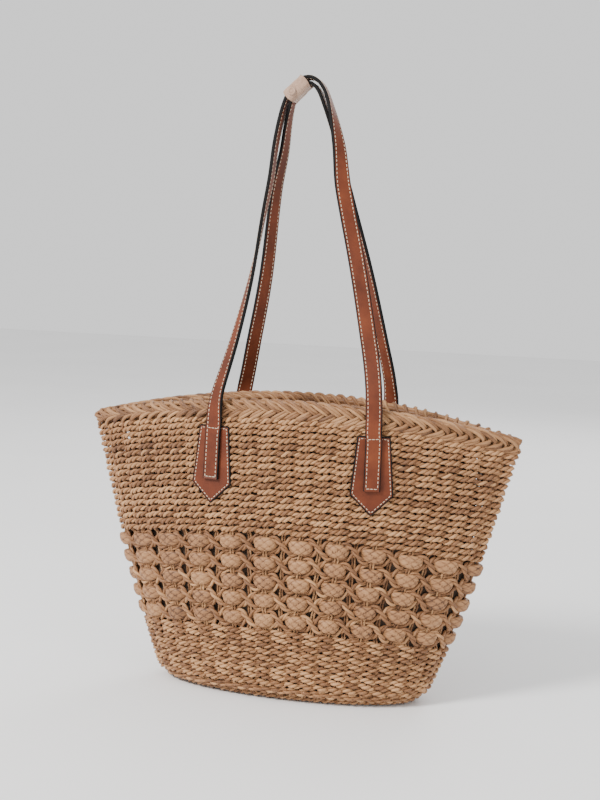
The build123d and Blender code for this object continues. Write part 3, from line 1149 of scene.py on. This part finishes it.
# Turn of each leg about its length, in degrees, at shares of its rise
leg_turns = {
    ("front", "left"): [(0, 0), (0.03, 12), (0.1, 35), (0.25, 50), (0.4, 63), (0.55, 80), (0.7, 90)],
    ("front", "right"): [(0, 0), (0.1, 8), (0.5, 16), (0.7, 28), (0.82, 58), (0.94, 90)],
    ("back", "left"): [(0, 0), (0.05, 8), (0.12, 32), (0.5, 54), (0.72, 66), (0.94, 90)],
    ("back", "right"): [(0, 0), (0.05, 8), (0.12, 32), (0.4, 44), (0.72, 66), (0.94, 90)],
}


def strap_path(side):
    """Places and face directions of a whole strap, from one tab's foot to the other's."""
    line = handle_line()
    along = unit(np.gradient(line, axis=0))
    outward = np.stack([-along[:, 2], 0 * along[:, 0], along[:, 0]], axis=-1)
    z = line[:, 2]
    near_top = soft((z - (handle_height - 110)) / 48)
    stack = -side * (strap_layer + stack_gap / 2) * near_top
    rest = body_height + 4
    lean = soft((z - rest) / 60) * 0.1
    lean = lean + 0.9 * np.clip((z - rest) / (handle_height - 20 - rest), 0, 1)
    plane = tab_plane(-1, -1)
    reach = plane[0] + plane[2] * tab_length / 2
    reach = reach + plane[3] * (tab_thickness + layer_gap + 2 * strap_layer)
    tab_lean = abs(reach[1]) - strap_layer
    place = np.array(line)
    place[:, 1] = side * (tab_lean * (1 - lean) + lean)
    place = place + outward * stack[:, None]
    rise = (z - tab_top) / (handle_height - tab_top)
    name = "front" if side < 0 else "back"
    turns = [np.interp(rise, *zip(*leg_turns[(name, end)])) for end in ("left", "right")]
    turn = np.where(np.arange(len(z)) < len(z) / 2, turns[0], turns[1])
    turn = np.radians(turn)[:, None]
    facing = np.array([0, side, 0]) * np.cos(turn) + outward * np.sin(turn)
    ends = []
    for end in (-1, 1):
        middle, _, upright, out = tab_plane(side, end)
        rows = np.linspace(tab_length / 2 - strap_overlap, tab_length / 2 - 1.5, 18)
        off = tab_thickness + layer_gap + strap_layer
        run = middle + upright * rows[:, None] + out * off
        ends.append((run, np.tile(out, (18, 1))))
    place = np.concatenate([ends[0][0], place, ends[1][0][::-1]])
    facing = np.concatenate([ends[0][1], facing, ends[1][1][::-1]])
    for _ in range(3):
        place[16:-16] = (place[15:-17] + 2 * place[16:-16] + place[17:-15]) / 4
        facing[16:-16] = (facing[15:-17] + 2 * facing[16:-16] + facing[17:-15]) / 4
    tangent = unit(np.gradient(place, axis=0))
    facing = unit(facing - tangent * np.sum(facing * tangent, axis=1, keepdims=True))
    return place, facing, np.cross(facing, tangent)


def strap_piece(side, name):
    """A whole handle strap: two leather layers with painted edges and four stitch lines."""
    leather = Leather()
    place, facing, sideways = strap_path(side)
    face = [(-7.25, 1.7), (-6.6, 1.7), (-6.1, 1.68), (-5.75, 1.58), (-5.4, 1.68), (-4, 1.74),
            (0, 1.78), (4, 1.74), (5.4, 1.68), (5.75, 1.58), (6.1, 1.68), (6.6, 1.7),
            (7.25, 1.7)]
    edge = [(7.85, 1.58), (8.2, 1.1), (8.25, 0.45), (8.18, 0.0), (8.25, -0.45), (8.2, -1.1),
            (7.85, -1.58)]
    section = face + edge + [(x, -y) for x, y in face[::-1]] + [(-x, y) for x, y in edge[::-1]]
    count = len(section)
    kind = []
    for i in range(count):
        a, b = section[i], section[(i + 1) % count]
        kind.append(0 if abs(a[0]) < 7.4 and abs(b[0]) < 7.4 and a[1] * b[1] > 0 else 1)
    rings = np.array([
        place + sideways * x + facing * y for x, y in section
    ]).transpose(1, 0, 2)
    total = len(place)
    faces = grid_faces(total, count, True).tolist()
    kinds = np.tile(kind, total - 1).tolist()
    faces.append(list(range(count)))
    faces.append(list(range(total * count - 1, (total - 1) * count - 1, -1)))
    leather.add(rings.reshape(-1, 3), faces, [*kinds, 1, 1])
    walked = walk(place)
    number = int((walked[-1] - 5) / strap_stitch_pitch)

    def at(distance, values):
        return np.array([np.interp(distance, walked, values[:, k]) for k in range(3)])

    for i in range(number):
        first = 2.5 + i * (walked[-1] - 5) / number
        last = first + 2.6
        for across in (-5.75, 5.75):
            for out in (1, -1):
                points = []
                for distance in (first, last):
                    direction = at(distance, facing)
                    centre = at(distance, place) + at(distance, sideways) * across
                    points.append(centre + direction * out * 1.62)
                leather.stitch(points[0], points[1], at(first, facing) * out)
    for index, inset in ((0, 2.6), (-1, 2.6), (0, strap_overlap - 2.5), (-1, strap_overlap - 2.5)):
        distance = inset if index == 0 else walked[-1] - inset
        centre = at(distance, place) + at(distance, facing) * 1.72
        for k in range(3):
            ends = [centre + at(distance, sideways) * (-5.4 + 3.7 * k + 3.1 * e) for e in (0, 1)]
            leather.stitch(ends[0], ends[1], at(distance, facing))
    obj = leather.piece(f"{name}_handle_strap", cognac)
    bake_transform(obj)
    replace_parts(obj, f"{name}_handle_outer_leather", f"{name}_handle_inner_leather",
                f"strap_end_{name}_left", f"strap_end_{name}_right")


for side_sign, side_name in sides:
    strap_piece(side_sign, side_name)

# ---- suede wrap and snap

wrap_tilt = math.radians(44)
wrap_middle = np.array([-12.6 + handle_apex, 0, handle_height - 9.35])
wrap_axis = np.array([math.cos(wrap_tilt), 0, math.sin(wrap_tilt)])
wrap_up = np.array([-wrap_axis[2], 0, wrap_axis[0]])


def wrap_piece(side, name):
    """One half of the suede wrap, its ends curled outwards."""
    rows, columns = 26, 46
    t = np.linspace(-1, 1, rows)[:, None]
    angle = np.linspace(-np.pi / 2, np.pi / 2, columns)[None, :]
    flare = 0.5 * np.abs(t) ** 8 + 0.3 * (1 - t**2)
    power = 0.62
    up = np.sign(np.sin(angle)) * np.abs(np.sin(angle)) ** power
    out = np.abs(np.cos(angle)) ** power
    layers = []
    for wall_inset in (0.0, 1.3):
        ripple = 0.35 * np.sin(angle * 3 + t * 2.5) + 0.25 * np.sin(t * 7 + angle * 5 + 1)
        high = 7.9 - wall_inset + flare * 0.5 + ripple * 0.5
        deep = 11.1 - wall_inset + flare * 0.5 + ripple * 0.4
        rim = 0.9 + 0.16 * np.cos(angle) ** 2
        base = wrap_middle + wrap_axis * (t * 12.5 * rim)[..., None]
        point = base + wrap_up * (high * up)[..., None]
        point = point + np.array([0, side, 0]) * (deep * out + 0.15)[..., None]
        layers.append(point.reshape(-1, 3))
    faces = two_layer_faces(rows, columns)
    obj = make_mesh(f"suede_wrap_{name}", np.concatenate(layers), faces, [suede])
    put(obj, f"{name}_handle", "suede", f"wrap_{name}")


for side_sign, side_name in sides:
    wrap_piece(side_sign, side_name)


def snap_piece():
    """Covered snap: a domed cap with a pressed ring."""
    middle = wrap_middle - wrap_axis * 5 + np.array([0, -12.0, 0])
    profile = [(0.0, 0.95), (1.2, 0.95), (1.7, 0.75), (2.2, 0.75), (2.7, 1.2), (3.3, 1.3),
               (3.8, 1.05), (4.0, 0.6), (4.0, 0.0), (3.6, -0.1)]
    sides = 48
    verts = []
    for radius, rise in profile:
        for k in range(sides):
            angle = 2 * math.pi * k / sides
            across = wrap_axis * math.cos(angle) + wrap_up * math.sin(angle)
            verts.append(middle + across * max(radius, 0.02) + np.array([0, -rise, 0]))
    faces = grid_faces(len(profile), sides, True)
    obj = make_mesh("snap_cover", verts, faces, [suede])
    put(obj, "front_handle", "snap", "snap_cap")


snap_piece()

# ---- floor, light and camera


def floor_material():
    n = Nodes("pale_floor")
    cloud = n.noise(n.object_space(), 2.0, 3.0, 0.5)
    colour = n.ramp(cloud, [(0.3, (0.86, 0.86, 0.86)), (0.7, (0.89, 0.89, 0.89))])
    return n.surface(colour, 0.8)


def floor():
    half = 6000
    corners = [(-half, -half, -0.1), (half, -half, -0.1), (half, half, -0.1), (-half, half, -0.1)]
    obj = make_mesh("floor", corners, [[0, 1, 2, 3]], [floor_material()], smooth=False)


floor()


def area_light(name, place, aim, size, power, colour=(1, 1, 1)):
    light = bpy.data.lights.new(name, "AREA")
    light.shape = "DISK"
    light.size = size
    light.energy = power
    light.color = colour
    obj = bpy.data.objects.new(name, light)
    obj.location = place
    direction = Vector(aim) - Vector(place)
    obj.rotation_euler = direction.to_track_quat("-Z", "Y").to_euler()
    bpy.context.scene.collection.objects.link(obj)


area_light("key", (-1.5, -1.9, 2.1), (0, 0, 0.3), 0.8, 120, (1, 0.985, 0.965))
area_light("fill", (2.2, -1.6, 1.1), (0, 0, 0.3), 1.8, 11)
area_light("rear", (0.6, 2.2, 1.6), (0, 0, 0.4), 1.4, 20)

world = bpy.data.worlds.new("studio")
bpy.context.scene.world = world
world.use_nodes = True
background = world.node_tree.nodes["Background"]
background.inputs["Color"].default_value = (1.0, 1.0, 1.0, 1)
background.inputs["Strength"].default_value = 1.1


def photo_camera():
    azimuth, elevation, roll = (math.radians(a) for a in (13.29, 5.89, 2.34))
    distance = 1.3
    forward = Vector((-math.sin(azimuth) * math.cos(elevation),
                      math.cos(azimuth) * math.cos(elevation), -math.sin(elevation)))
    level = Vector((math.cos(azimuth), math.sin(azimuth), 0))
    upright = level.cross(forward)
    right = level * math.cos(roll) + upright * math.sin(roll)
    up = upright * math.cos(roll) - level * math.sin(roll)
    camera = bpy.data.cameras.new("camera")
    camera.lens = 56.43
    camera.sensor_width = 36
    camera.clip_end = 50
    obj = bpy.data.objects.new("camera", camera)
    place = Vector((0, 0, 0.3)) - forward * distance - right * 0.00145 + up * 0.0054
    turn = Matrix((right, up, -forward)).transposed()
    obj.matrix_world = Matrix.Translation(place) @ turn.to_4x4()
    bpy.context.scene.collection.objects.link(obj)
    bpy.context.scene.camera = obj


photo_camera()
